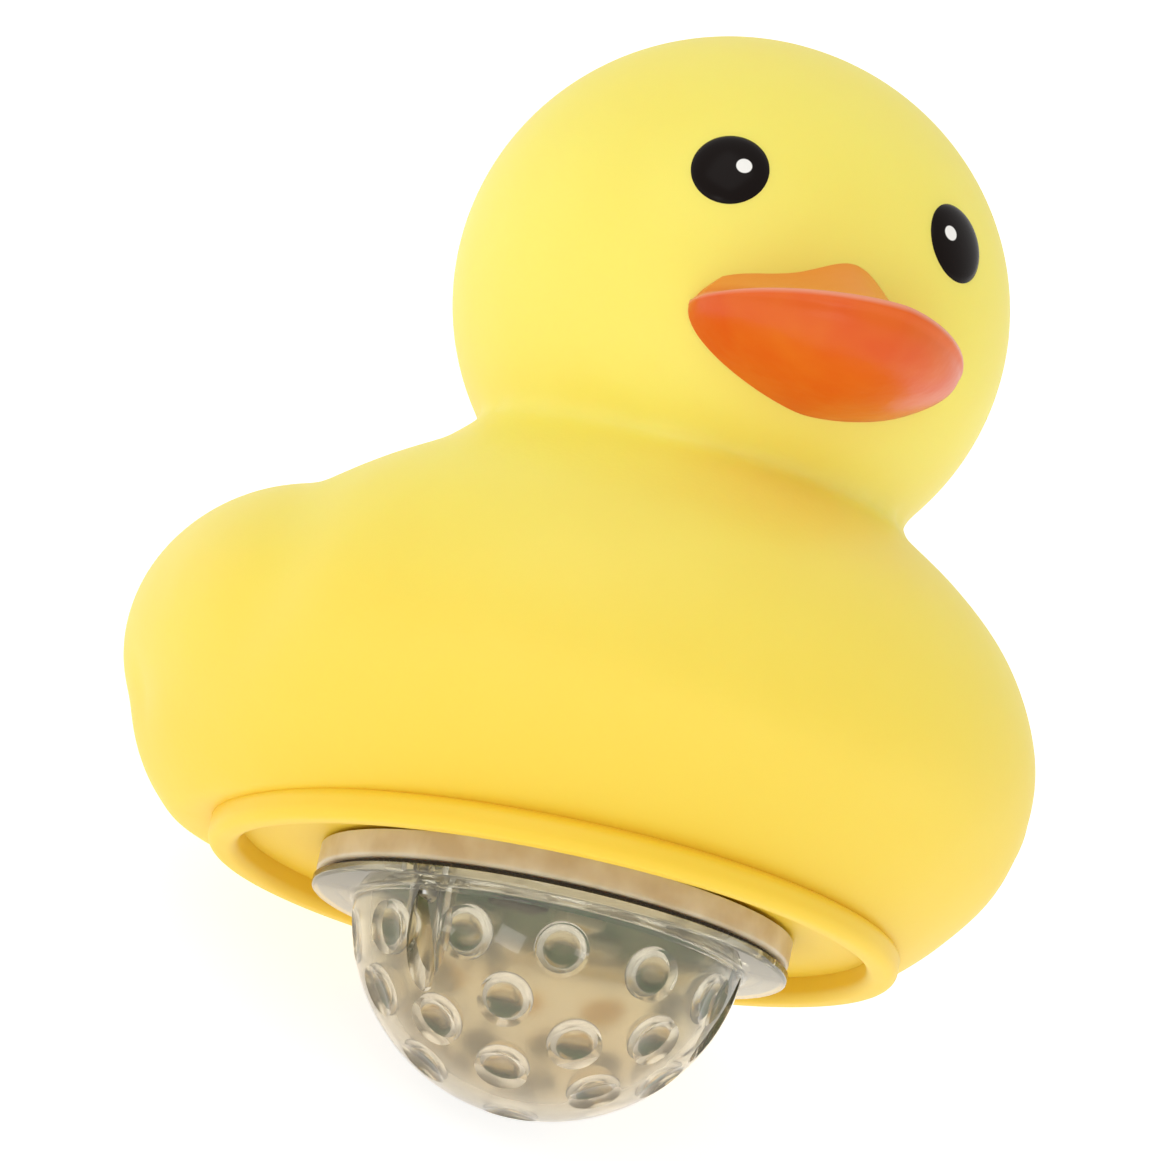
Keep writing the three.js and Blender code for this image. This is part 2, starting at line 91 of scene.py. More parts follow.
# The studio: a light table of opal acrylic, lit from below, under a bright sky that fades a little toward the
# camera's side. A softbox above the duck's head and a weak one low at its side give the gloss its highlights.
FLOOR_SIDE = 12.0
FLOOR_ACRYLIC = "#BDBCBA"
FLOOR_GLOW = 0.8
SKY_BEHIND = 1.08
SKY_BEFORE = 0.9
SKY_FADE = (-0.3, 0.9)
SOFTBOXES = {
    "head_softbox": {"place": (-0.45, -0.35, 0.85), "side": 0.7, "watts": 1.6},
    "foot_softbox": {"place": (-0.46, -0.62, 0.04), "side": 0.2, "watts": 0.35},
}


def linear(code):
    """Linear RGBA of an sRGB hex colour."""
    parts = [int(code[i:i + 2], 16) / 255 for i in (1, 3, 5)]
    return (*[c / 12.92 if c <= 0.04045 else ((c + 0.055) / 1.055) ** 2.4 for c in parts], 1.0)


def add(tree, kind, inputs=None, **settings):
    """Adds a node. An input that is another node's output is linked, and any other value is set."""
    made = tree.nodes.new(kind)
    for name, value in settings.items():
        setattr(made, name, value)
    for socket, value in (inputs or {}).items():
        if isinstance(value, bpy.types.NodeSocket):
            tree.links.new(value, made.inputs[socket])
        else:
            made.inputs[socket].default_value = value
    return made


def new_material(name):
    """A material with an empty tree, its surface shader and its object coordinates in upright millimetres."""
    made = bpy.data.materials.new(name)
    made.use_nodes = True
    tree = made.node_tree
    tree.nodes.clear()
    shader = add(tree, "ShaderNodeBsdfPrincipled")
    add(tree, "ShaderNodeOutputMaterial", {"Surface": shader.outputs["BSDF"]})
    to_upright = UPRIGHT_TO_SCENE.inverted()
    place = add(tree, "ShaderNodeMapping", {
        "Vector": add(tree, "ShaderNodeTexCoord").outputs["Object"],
        "Location": to_upright.to_translation(),
        "Rotation": to_upright.to_euler(),
        "Scale": to_upright.to_scale(),
    })
    return made, tree, shader, place.outputs["Vector"]


# Opal acrylic: matt white, lit from below
floor_mesh = bpy.data.meshes.new("floor")
floor_bm = bmesh.new()
bmesh.ops.create_grid(floor_bm, x_segments=8, y_segments=8, size=FLOOR_SIDE / 2)
floor_bm.to_mesh(floor_mesh)
floor_bm.free()
floor = bpy.data.objects.new("floor", floor_mesh)
bpy.context.scene.collection.objects.link(floor)

floor_acrylic, tree, shader, place = new_material("opal_acrylic_light_table")
shader.inputs["Base Color"].default_value = linear(FLOOR_ACRYLIC)
shader.inputs["Roughness"].default_value = 0.9
shader.inputs["Emission Color"].default_value = linear("#FFFFFF")
shader.inputs["Emission Strength"].default_value = FLOOR_GLOW
floor.data.materials.append(floor_acrylic)

for name, box in SOFTBOXES.items():
    lamp = bpy.data.lights.new(name, "AREA")
    lamp.size = box["side"]
    lamp.energy = box["watts"]
    softbox = bpy.data.objects.new(name, lamp)
    softbox.location = box["place"]
    softbox.rotation_euler = (-softbox.location).to_track_quat("-Z", "Y").to_euler()
    bpy.context.scene.collection.objects.link(softbox)

sky = bpy.data.worlds.new("studio_sky")
sky.use_nodes = True
sky.node_tree.nodes.clear()
look = add(sky.node_tree, "ShaderNodeTexCoord")
to_camera = (camera.matrix_world.translation - UPRIGHT_TO_SCENE.translation).normalized()
ahead = add(sky.node_tree, "ShaderNodeVectorMath", {
    0: look.outputs["Generated"], 1: to_camera,
}, operation="DOT_PRODUCT")
fade = add(sky.node_tree, "ShaderNodeMapRange", {
    "Value": ahead.outputs["Value"],
    "From Min": SKY_FADE[0],
    "From Max": SKY_FADE[1],
    "To Min": SKY_BEHIND,
    "To Max": SKY_BEFORE,
})
glow = add(sky.node_tree, "ShaderNodeBackground", {"Strength": fade.outputs["Result"]})
add(sky.node_tree, "ShaderNodeOutputWorld", {"Surface": glow.outputs["Background"]})
bpy.context.scene.world = sky
bpy.context.scene.view_settings.view_transform = "Standard"

# The duck's skin: one blown hull of soft yellow vinyl with head, wings and tail, and a foot rim round a shallow
# well. It is moulded in a split mould, so the forms run into each other with soft creases. The lamp's cup grips
# the hole in the well floor. A body station is height, half width, front, rear and middle.
SKIN_WALL = 2.2
BODY_STATIONS = (
    (4.0, 47.0, -40.0, 49.5, 10.5),
    (6.0, 49.2, -42.0, 51.5, 10.1),
    (9.0, 52.3, -45.1, 54.0, 8.7),
    (14.0, 56.0, -49.8, 58.5, 3.9),
    (20.0, 57.1, -54.5, 67.5, 1.0),
    (27.0, 55.8, -56.1, 71.0, -3.6),
    (34.0, 52.3, -55.6, 70.0, -6.4),
    (41.0, 46.8, -52.9, 61.0, -8.9),
    (47.0, 39.5, -47.9, 42.0, -10.8),
    (52.0, 31.8, -41.6, 26.0, -12.4),
    (56.0, 27.2, -36.0, 13.0, -14.1),
    (60.0, 16.5, -28.0, -3.0, -15.9),
)
HEAD_CENTRE = Vector((0, -17.6, 78.3))
HEAD_RADII = Vector((35.15, 35.15, 34.0))
WING = {"x": 39.2, "y": 4.3, "z": 26.0, "thick": 19.5, "length": 36.8, "height": 20.0}
WING_PITCH = 4.6
WING_TUCK = 15.8
WING_CLOSE = -3.0
TAIL = {"y": 55.0, "z": 41.0, "side": 23.0, "length": 27.0, "thick": 12.0, "pitch": 30.0}
RIM_RADIUS = 44.0
RIM_WIDTH = 4.0
RIM_ROUND = 1.5
RIM_UPPER_TURN = 70
RIM_TOP = 5.0
RIM_BACK = 1.0
RIM_RISE = 0.015
WELL_DEPTH = 3.3
GRIP_RADIUS = 27.4
SKIN_VOXEL = 0.85
HOLLOW_VOXEL = 2.5
CREASE_SOFTENING = 14
SLIVER = 0.002
FLAP_PASSES = 3
WING_FOLD = (
    (-46.9, -19.8, 39.0),
    (-49.5, -23.7, 32.7),
    (-50.7, -24.7, 28.4),
    (-51.9, -23.1, 23.4),
    (-52.9, -19.0, 18.8),
    (-53.8, -14.0, 15.9),
    (-54.9, -6.5, 14.2),
    (-56.1, 2.9, 14.4),
    (-56.0, 10.3, 15.5),
)
WING_FOLD_SAMPLES = 72
WING_FOLD_WIDTH = 6.2
WING_FOLD_START = 0.52
WING_FOLD_DEPTH = 1.3
WING_FOLD_RUN = 30
FORM_STEPS = 96
HOLLOW_STEPS = 32
RIM_STEPS = 192
WELL_STEPS = 128


def arc(middle, height, radius, start, end, steps):
    """Points of a round stretch of a turned profile, as (radius, height), between two angles in degrees."""
    angles = [math.radians(start + (end - start) * i / steps) for i in range(steps + 1)]
    return [(middle + radius * math.cos(a), height + radius * math.sin(a)) for a in angles]


def spun(profile, steps):
    """A turned solid from a profile of (radius, height) about Z, whose ends lie on the axis or which closes."""
    bm = bmesh.new()
    points = [bm.verts.new((radius, 0, height)) for radius, height in profile]
    edges = [bm.edges.new(pair) for pair in zip(points, points[1:])]
    bmesh.ops.spin(
        bm, geom=points + edges, cent=(0, 0, 0), axis=(0, 0, 1), angle=2 * math.pi, steps=steps, use_merge=True,
    )
    bmesh.ops.remove_doubles(bm, verts=bm.verts, dist=SLIVER / 2)
    bmesh.ops.recalc_face_normals(bm, faces=bm.faces)
    return bm


def between(stations, t):
    """The row of a station list at t from 0 to 1, on a smooth curve through all rows."""
    spot = t * (len(stations) - 1)
    i = min(int(spot), len(stations) - 2)
    rows = [Vector(stations[min(max(j, 0), len(stations) - 1)]) for j in range(i - 1, i + 3)]
    f = spot - i
    slope_in = (rows[2] - rows[0]) / 2
    slope_out = (rows[3] - rows[1]) / 2
    return (
        rows[1] * (2 * f**3 - 3 * f**2 + 1)
        + slope_in * (f**3 - 2 * f**2 + f)
        + rows[2] * (3 * f**2 - 2 * f**3)
        + slope_out * (f**3 - f**2)
    )


def body_form(inset, rings, steps):
    """The body as a turned barrel whose rings are stretched to the stations."""
    bm = spun([(0, 0)] + [(1, i / rings) for i in range(rings + 1)] + [(0, 1)], steps)
    for vert in bm.verts:
        z, half, front, rear, middle = between(BODY_STATIONS, min(max(vert.co.z, 0), 1))
        depth = middle - front if vert.co.y < 0 else rear - middle
        vert.co = (vert.co.x * (half - inset), middle + vert.co.y * (depth - inset), z)
    return bm


def ball(radii, steps, place):
    """An ellipsoid turned and moved by a matrix."""
    bm = bmesh.new()
    sized = place @ Matrix.Diagonal((*radii, 1))
    bmesh.ops.create_uvsphere(bm, u_segments=steps, v_segments=steps // 2, radius=1, matrix=sized)
    return bm


def wing_place(side):
    """Where a wing's middle is and how it is turned, side 1 being the duck's left."""
    turns = Matrix.Rotation(math.radians(side * WING_CLOSE), 4, "Z")
    turns = turns @ Matrix.Rotation(math.radians(-side * WING_TUCK), 4, "Y")
    turns = turns @ Matrix.Rotation(math.radians(WING_PITCH), 4, "X")
    return Matrix.Translation((side * WING["x"], WING["y"], WING["z"])) @ turns


def joined(forms):
    """One mesh that holds several forms."""
    mesh = bpy.data.meshes.new("joined")
    whole = bmesh.new()
    for bm in forms:
        bm.to_mesh(mesh)
        whole.from_mesh(mesh)
        bm.free()
    bpy.data.meshes.remove(mesh)
    return whole


def duck_forms(inset, steps):
    """The hull's forms, all smaller by an inset: body, head, tail and wings, still overlapping."""
    tail_place = Matrix.Translation((0, TAIL["y"], TAIL["z"]))
    tail_place = tail_place @ Matrix.Rotation(math.radians(TAIL["pitch"]), 4, "X")
    less = Vector((inset, inset, inset))
    lobe = Vector((WING["thick"], WING["length"], WING["height"])) - less
    return joined([
        body_form(inset, steps // 2, steps),
        ball(HEAD_RADII - less, steps, Matrix.Translation(HEAD_CENTRE)),
        ball(Vector((TAIL["side"], TAIL["length"], TAIL["thick"])) - less, steps, tail_place),
        ball(lobe, steps, wing_place(-1)),
        ball(lobe, steps, wing_place(1)),
    ])


def finished(obj):
    """Applies an object's modifiers to its mesh."""
    bpy.context.view_layer.update()
    applied = bpy.data.meshes.new_from_object(obj.evaluated_get(bpy.context.evaluated_depsgraph_get()))
    obj.modifiers.clear()
    old = obj.data
    obj.data = applied
    bpy.data.meshes.remove(old)


def placed(name, bm):
    """An object made from upright millimetres."""
    mesh = bpy.data.meshes.new(name)
    bm.to_mesh(mesh)
    bm.free()
    obj = bpy.data.objects.new(name, mesh)
    bpy.context.scene.collection.objects.link(obj)
    return obj


def carve(obj, operation, *forms):
    """Joins forms to an object or cuts them away. The forms don't touch each other."""
    tool = placed("tool", joined(forms))
    cut = obj.modifiers.new("cut", "BOOLEAN")
    cut.operation = operation
    cut.solver = "EXACT"
    cut.object = tool
    finished(obj)
    bpy.data.objects.remove(tool)


def cleaned(obj):
    """Takes out what cuts can leave in a mesh: slivers, faces folded on each other and flaps."""
    bm = bmesh.new()
    bm.from_mesh(obj.data)
    bmesh.ops.remove_doubles(bm, verts=bm.verts, dist=SLIVER)
    bmesh.ops.dissolve_degenerate(bm, dist=SLIVER, edges=bm.edges)
    bmesh.ops.triangulate(bm, faces=[face for face in bm.faces if len(face.verts) > 4])
    corners = {}
    for face in bm.faces:
        corners.setdefault(frozenset(face.verts), []).append(face)
    folded = [face for pair in corners.values() if len(pair) > 1 for face in pair]
    bmesh.ops.delete(bm, geom=folded, context="FACES")
    for _ in range(FLAP_PASSES):
        flaps = [
            face for face in bm.faces
            if any(edge.is_boundary for edge in face.edges)
            and any(len(edge.link_faces) > 2 for edge in face.edges)
        ]
        bmesh.ops.delete(bm, geom=flaps, context="FACES")
    bm.to_mesh(obj.data)
    bm.free()


def laid_back(obj, material, nodes, crease=40):
    """Moves an upright piece to where the duck lies and hands it to the frame. Edges past crease are sharp."""
    cleaned(obj)
    obj.data.transform(UPRIGHT_TO_SCENE)
    obj.data.materials.clear()
    obj.data.materials.append(material)
    obj.data.shade_smooth()
    obj.data.set_sharp_from_angle(angle=math.radians(crease))
    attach(obj, "root")
    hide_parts(*nodes)


skin = placed("duck_skin", duck_forms(0, FORM_STEPS))
remesh = skin.modifiers.new("mould", "REMESH")
remesh.mode = "VOXEL"
remesh.voxel_size = SKIN_VOXEL
finished(skin)

bm = bmesh.new()
bm.from_mesh(skin.data)
for _ in range(CREASE_SOFTENING):
    bmesh.ops.smooth_vert(bm, verts=bm.verts, factor=0.5, use_axis_x=True, use_axis_y=True, use_axis_z=True)
bm.normal_update()
fold = KDTree(WING_FOLD_SAMPLES)
for i in range(WING_FOLD_SAMPLES):
    fold.insert(between(WING_FOLD, i / (WING_FOLD_SAMPLES - 1)), i)
fold.balance()
for vert in bm.verts:
    _, i, off = fold.find((-abs(vert.co.x), vert.co.y, vert.co.z))
    depth = WING_FOLD_START + (WING_FOLD_DEPTH - WING_FOLD_START) * min(i / WING_FOLD_RUN, 1)
    vert.co -= vert.normal * depth * math.exp(-((off / WING_FOLD_WIDTH) ** 2))
bm.to_mesh(skin.data)
bm.free()

rim_inner = RIM_RADIUS - RIM_WIDTH
skin_top = WELL_DEPTH + SKIN_WALL
well = spun([(0, -RIM_TOP), (rim_inner, -RIM_TOP), (rim_inner, WELL_DEPTH), (0, WELL_DEPTH)], WELL_STEPS)
bmesh.ops.translate(well, verts=well.verts, vec=(0, RIM_BACK, 0))
carve(skin, "DIFFERENCE", well)
rim = spun(
    [(0, WELL_DEPTH), (rim_inner, WELL_DEPTH)]
    + arc(rim_inner + RIM_ROUND, RIM_ROUND, RIM_ROUND, 180, 270, 8)
    + arc(RIM_RADIUS - RIM_ROUND, RIM_ROUND, RIM_ROUND, 270, 360, 8)
    + arc(RIM_RADIUS - RIM_ROUND, RIM_TOP - RIM_ROUND, RIM_ROUND, 0, RIM_UPPER_TURN, 6)
    + [(rim_inner, RIM_TOP + RIM_ROUND), (0, RIM_TOP + RIM_ROUND)],
    RIM_STEPS,
)
bmesh.ops.translate(rim, verts=rim.verts, vec=(0, RIM_BACK, 0))
for vert in rim.verts:
    if vert.co.z < WELL_DEPTH:
        vert.co.z += RIM_RISE * (RIM_BACK + RIM_RADIUS - vert.co.y)
carve(skin, "UNION", rim)

hollow = placed("hollow", duck_forms(SKIN_WALL, HOLLOW_STEPS))
hollow_mould = hollow.modifiers.new("mould", "REMESH")
hollow_mould.mode = "VOXEL"
hollow_mould.voxel_size = HOLLOW_VOXEL
finished(hollow)
below = [(0, -RIM_TOP), (2 * RIM_RADIUS, -RIM_TOP), (2 * RIM_RADIUS, skin_top), (0, skin_top)]
carve(hollow, "DIFFERENCE", spun(below, 2 * HOLLOW_STEPS))
hole = [(0, -RIM_TOP), (GRIP_RADIUS, -RIM_TOP), (GRIP_RADIUS, 2 * skin_top), (0, 2 * skin_top)]
carve(hollow, "UNION", spun(hole, WELL_STEPS))
bm = bmesh.new()
bm.from_mesh(hollow.data)
bpy.data.objects.remove(hollow)
carve(skin, "DIFFERENCE", bm)

# Soft vinyl, blown in a split mould: pale yellow, satin, with painted shade that deepens the yellow toward the
# foot, and a little light comes back out of it. Cloudy patches are some 18 mm wide, the wall swells every 14 mm
# and its grain is 0.7 mm.
PAINTED_SHADE_UP_TO = 48

vinyl, tree, shader, place = new_material("blown_yellow_vinyl")
height = add(tree, "ShaderNodeSeparateXYZ", {0: place})
# Painted shade: the yellow deepens from 48 mm high down to the foot, standing in for shade on the lower body
painted_shade_fade = add(tree, "ShaderNodeMapRange", {"Value": height.outputs["Z"], "From Min": 0, "From Max": PAINTED_SHADE_UP_TO})
clouds = add(tree, "ShaderNodeTexNoise", {"Vector": place, "Scale": 1 / 18, "Detail": 3})
painted_foot_shade = add(tree, "ShaderNodeMix", {
    "Factor": painted_shade_fade.outputs["Result"], "A": linear("#F3CB30"), "B": linear("#F9E867"),
}, data_type="RGBA")
cloud = add(tree, "ShaderNodeMapRange", {
    "Value": clouds.outputs["Fac"], "From Min": 0.35, "From Max": 0.65, "To Min": 0.0, "To Max": 0.1,
})
mottled = add(tree, "ShaderNodeMix", {
    "Factor": cloud.outputs["Result"], "A": painted_foot_shade.outputs[2], "B": linear("#F2CC34"),
}, data_type="RGBA")
grain = add(tree, "ShaderNodeTexNoise", {"Vector": place, "Scale": 1 / 0.7, "Detail": 2})
swell = add(tree, "ShaderNodeTexNoise", {"Vector": place, "Scale": 1 / 14, "Detail": 1})
fine = add(tree, "ShaderNodeBump", {"Height": grain.outputs["Fac"], "Strength": 0.03, "Distance": MM})
worn = add(tree, "ShaderNodeBump", {
    "Height": swell.outputs["Fac"], "Strength": 0.08, "Distance": 5 * MM, "Normal": fine.outputs["Normal"],
})
tree.links.new(mottled.outputs[2], shader.inputs["Base Color"])
tree.links.new(worn.outputs["Normal"], shader.inputs["Normal"])
shader.inputs["Roughness"].default_value = 0.48
shader.inputs["IOR"].default_value = 1.5
shader.inputs["Subsurface Weight"].default_value = 0.2
shader.inputs["Subsurface Radius"].default_value = (1.0, 0.6, 0.15)
shader.inputs["Subsurface Scale"].default_value = 3 * MM
laid_back(skin, vinyl, ["duck_shell"])

# The bill is moulded with the skin and sprayed orange up to its edge, so it is a form of its own here: a full
# lower jaw, a rolled lip and a low crown that rises as a hump to the forehead.
BILL_STEPS = 160
BILL_RINGS = 120
BILL_LIP = 66.7
BILL_ASIDE = 1.0
BILL_ROOT = -47.7
BILL_TURN = 4.7
BILL_HALF_WIDTH = 17.3
BILL_REACH = 19.4
BILL_DROP = 8.4
BILL_POINTED = 1.62
BILL_FULLNESS = 2.17
BILL_SHOULDER = 7.6
BILL_PEAK = 7.7
BILL_PEAK_WIDTH = 6.0
BILL_SCOOP = 1.8
BILL_CORNER_RISE = 4
BILL_BEAD = 0.7
BILL_BEAD_WIDTH = 0.085


def bill_point(unit):
    """Where a point of the unit ball lies on the bill; the ball's poles are the corners of the mouth."""
    x, y, z = unit
    flat = max(math.hypot(y, z), 1e-6)
    y, z = y / flat, z / flat
    taper = max(1 - abs(x) ** BILL_POINTED, 0) ** (1 / BILL_POINTED)
    full = 1 / (abs(y) ** BILL_FULLNESS + abs(z) ** BILL_FULLNESS) ** (1 / BILL_FULLNESS) if z < 0 else 1
    bead = BILL_BEAD * math.exp(-((z / BILL_BEAD_WIDTH) ** 2)) * taper**0.5
    depth = y * (BILL_REACH * full * taper + bead)
    if z < 0:
        height = z * BILL_DROP * full * taper
    else:
        hump = BILL_PEAK * math.exp(-((x * BILL_HALF_WIDTH / BILL_PEAK_WIDTH) ** 2))
        crest = BILL_SHOULDER * (1 - x**4) + hump
        roll = BILL_BEAD * z / BILL_BEAD_WIDTH * math.exp(1 - z / BILL_BEAD_WIDTH) * taper**0.5
        height = crest * (1 - max(-y, 0)) ** BILL_SCOOP * min(taper * BILL_CORNER_RISE, 1) + roll
    return Vector((x * BILL_HALF_WIDTH, depth, height))


bm = bmesh.new()
poles_aside = Matrix.Rotation(math.pi / 2, 4, "Y")
bmesh.ops.create_uvsphere(bm, u_segments=BILL_STEPS, v_segments=BILL_RINGS, radius=1, matrix=poles_aside)
for vert in bm.verts:
    vert.co = bill_point(vert.co.normalized())
turned = Matrix.Rotation(math.radians(BILL_TURN), 4, "Z")
bmesh.ops.transform(bm, matrix=Matrix.Translation((BILL_ASIDE, BILL_ROOT, BILL_LIP)) @ turned, verts=bm.verts)
bill = placed("duck_bill", bm)

# Sprayed vinyl paint: orange in clouds 9 mm wide, satin, with painted light that makes the crown paler and a
# painted highlight as a pale pink line along the lip. Its surface is uneven every 3.5 mm.
LIP_MIDDLE = BILL_LIP + 0.5
LIP_HALF = 0.7
LIP_CORE = 0.15
LIT_CROWN_OVER = 2.5

bill_paint, tree, shader, place = new_material("sprayed_orange_vinyl_paint")
clouds = add(tree, "ShaderNodeTexNoise", {"Vector": place, "Scale": 1 / 9, "Detail": 2})
cloud = add(tree, "ShaderNodeMapRange", {"Value": clouds.outputs["Fac"], "From Min": 0.35, "From Max": 0.7})
coat = add(tree, "ShaderNodeMix", {
    "Factor": cloud.outputs["Result"], "A": linear("#DA550C"), "B": linear("#DE6815"),
}, data_type="RGBA")
height = add(tree, "ShaderNodeSeparateXYZ", {0: place})
# Painted light: the bill turns paler above the lip, as if its crown were lit from above
above = add(tree, "ShaderNodeMapRange", {
    "Value": height.outputs["Z"], "From Min": BILL_LIP, "From Max": BILL_LIP + LIT_CROWN_OVER,
})
painted_lit_crown = add(tree, "ShaderNodeMix", {
    "Factor": above.outputs["Result"], "A": coat.outputs[2], "B": linear("#EA9238"),
}, data_type="RGBA")
# Painted highlight: a pale pink line along the lip
from_lip = add(tree, "ShaderNodeMath", {0: height.outputs["Z"], 1: LIP_MIDDLE}, operation="SUBTRACT")
lip_off = add(tree, "ShaderNodeMath", {0: from_lip.outputs["Value"]}, operation="ABSOLUTE")
painted_lip_highlight = add(tree, "ShaderNodeMapRange", {
    "Value": lip_off.outputs["Value"], "From Min": LIP_HALF, "From Max": LIP_CORE, "To Max": 0.7,
})
lip_highlight_coat = add(tree, "ShaderNodeMix", {
    "Factor": painted_lip_highlight.outputs["Result"], "A": painted_lit_crown.outputs[2], "B": linear("#F0A488"),
}, data_type="RGBA")
swell = add(tree, "ShaderNodeTexNoise", {"Vector": place, "Scale": 1 / 3.5, "Detail": 2})
worn = add(tree, "ShaderNodeBump", {"Height": swell.outputs["Fac"], "Strength": 0.12, "Distance": MM})
tree.links.new(lip_highlight_coat.outputs[2], shader.inputs["Base Color"])
tree.links.new(worn.outputs["Normal"], shader.inputs["Normal"])
shader.inputs["Roughness"].default_value = 0.32
shader.inputs["Specular IOR Level"].default_value = 0.3
laid_back(bill, bill_paint, ["duck_shell"], crease=80)

# The eyes are low round bosses of the mould, brushed with black gloss enamel and one white dot each. The brush
# set them a little unlike each other, so each has its own place and size in degrees and millimetres.
EYES = {
    "duck_eye_right": {"turn": -26.3, "rise": 8.8, "radius": 4.85},
    "duck_eye_left": {"turn": 26.1, "rise": 9.9, "radius": 5.1},
}
GLINTS = ((-23.6, 9.1), (22.2, 10.1))
GLINT_RADIUS = 0.95
GLINT_EDGE = 0.05
EYE_PROUD = 0.9


def on_head(turn, rise, out=0.0):
    """A point on the head, from its turn to the duck's left and its rise above the head's middle in degrees."""
    turn, rise = math.radians(turn), math.radians(rise)
    unit = Vector((math.sin(turn) * math.cos(rise), -math.cos(turn) * math.cos(rise), math.sin(rise)))
    return HEAD_CENTRE + unit * (Vector(u * r for u, r in zip(unit, HEAD_RADII)).length + out)


# Gloss enamel: near black with a soft shine, and a white dot 1.9 mm wide on each eye
enamel, tree, shader, place = new_material("black_gloss_enamel")
offs = [
    add(tree, "ShaderNodeVectorMath", {0: place, 1: on_head(turn, rise, EYE_PROUD)}, operation="DISTANCE")
    for turn, rise in GLINTS
]
off = add(tree, "ShaderNodeMath", {
    0: offs[0].outputs["Value"], 1: offs[1].outputs["Value"],
}, operation="MINIMUM")
dot = add(tree, "ShaderNodeMapRange", {
    "Value": off.outputs["Value"], "From Min": GLINT_RADIUS + GLINT_EDGE, "From Max": GLINT_RADIUS - GLINT_EDGE,
})
paint = add(tree, "ShaderNodeMix", {
    "Factor": dot.outputs["Result"], "A": linear("#17110F"), "B": linear("#F4F2EC"),
}, data_type="RGBA")
tree.links.new(paint.outputs[2], shader.inputs["Base Color"])
shader.inputs["Roughness"].default_value = 0.22
shader.inputs["Specular IOR Level"].default_value = 0.08

for name, eye in EYES.items():
    seat = on_head(eye["turn"], eye["rise"], -EYE_PROUD)
    facing = (seat - HEAD_CENTRE).to_track_quat("Y", "Z").to_matrix().to_4x4()
    boss = ball((eye["radius"], 2 * EYE_PROUD, eye["radius"]), FORM_STEPS, Matrix.Translation(seat) @ facing)
    laid_back(placed(name, boss), enamel, ["duck_shell"])

# The clear dome is a polystyrene moulding: a bowl with dimples, a flat flange under the seal and three pockets
# that let the screws in from below. Behind each dimple the wall bulges inward and makes a small lens.
DOME_RADIUS = 24.9
DOME_WALL = 2.2
DOME_CENTRE = Vector((0, 0, 0.2))
FLANGE_RADIUS = 30.3
FLANGE_TOP = -0.7
FLANGE_BOTTOM = -1.9
FLANGE_ROUND = 0.5
DOME_FILLET = 0.7
DIMPLE_RADIUS = 3.3
DIMPLE_DEPTH = 0.9
DIMPLE_SNAP = 0.07
BULGE_RADIUS = 3.5
BULGE_REACH = 23.8
BULGE_STEPS = 48
DOME_STEPS = 360
BOWL_STEPS = 110
ON_BOWL = 0.05
DIMPLE_ROWS = ((73.0, 12, 15.0), (55.0, 6, 30.0), (45.5, 6, 0.0), (30.5, 6, 30.0), (0.0, 1, 0.0))
SCREW_TURNS = (60, 180, 300)
SCREW_CIRCLE = 22.6
SCREW_SEAT = FLANGE_BOTTOM + 0.2
POCKET_RADIUS = 2.2
POCKET_WALL = 1.0
SCREW_BORE = 1.3
# Cuts go past the flange's flat top: one that ends in its plane can leave a stray face there
CUT_TOP = FLANGE_TOP + 1


def around(radius, turn, height=0.0):
    """A point round the lamp axis, turned from the duck's front to its left in degrees."""
    return Vector((radius * math.sin(math.radians(turn)), -radius * math.cos(math.radians(turn)), height))


def rod(profile, spot, steps=48):
    """A turned bar that stands at a spot round the lamp axis, from its (radius, height) corners."""
    bm = spun([(0, profile[0][1]), *profile, (0, profile[-1][1])], steps)
    bmesh.ops.translate(bm, verts=bm.verts, vec=spot)
    return bm


dimples = [
    around(math.sin(math.radians(polar)), turn + i * 360 / count, -math.cos(math.radians(polar)))
    for polar, count, turn in DIMPLE_ROWS
    for i in range(count)
]
root_angle = math.degrees(math.asin((FLANGE_BOTTOM - DOME_FILLET - DOME_CENTRE.z) / DOME_RADIUS))
dome = spun(
    arc(0, DOME_CENTRE.z, DOME_RADIUS, -90, root_angle, BOWL_STEPS)
    + arc(DOME_RADIUS + DOME_FILLET, FLANGE_BOTTOM - DOME_FILLET, DOME_FILLET, 170, 90, 5)
    + arc(FLANGE_RADIUS - FLANGE_ROUND, FLANGE_BOTTOM + FLANGE_ROUND, FLANGE_ROUND, -90, 0, 5)
    + [(FLANGE_RADIUS, FLANGE_TOP), (0, FLANGE_TOP)],
    DOME_STEPS,
)
for vert in dome.verts:
    out = vert.co - DOME_CENTRE
    if abs(out.length - DOME_RADIUS) > ON_BOWL:
        continue
    dimple = min(dimples, key=out.angle)
    off = out.angle(dimple) * DOME_RADIUS / DIMPLE_RADIUS
    if abs(off - 1) < DIMPLE_SNAP:
        onto_edge = Matrix.Rotation((off - 1) * DIMPLE_RADIUS / DOME_RADIUS, 3, out.cross(dimple))
        out = onto_edge @ out
        off = 1
    vert.co = DOME_CENTRE + out.normalized() * (DOME_RADIUS - DIMPLE_DEPTH * max(1 - off**2, 0))
lens = placed("dome_cover", dome)

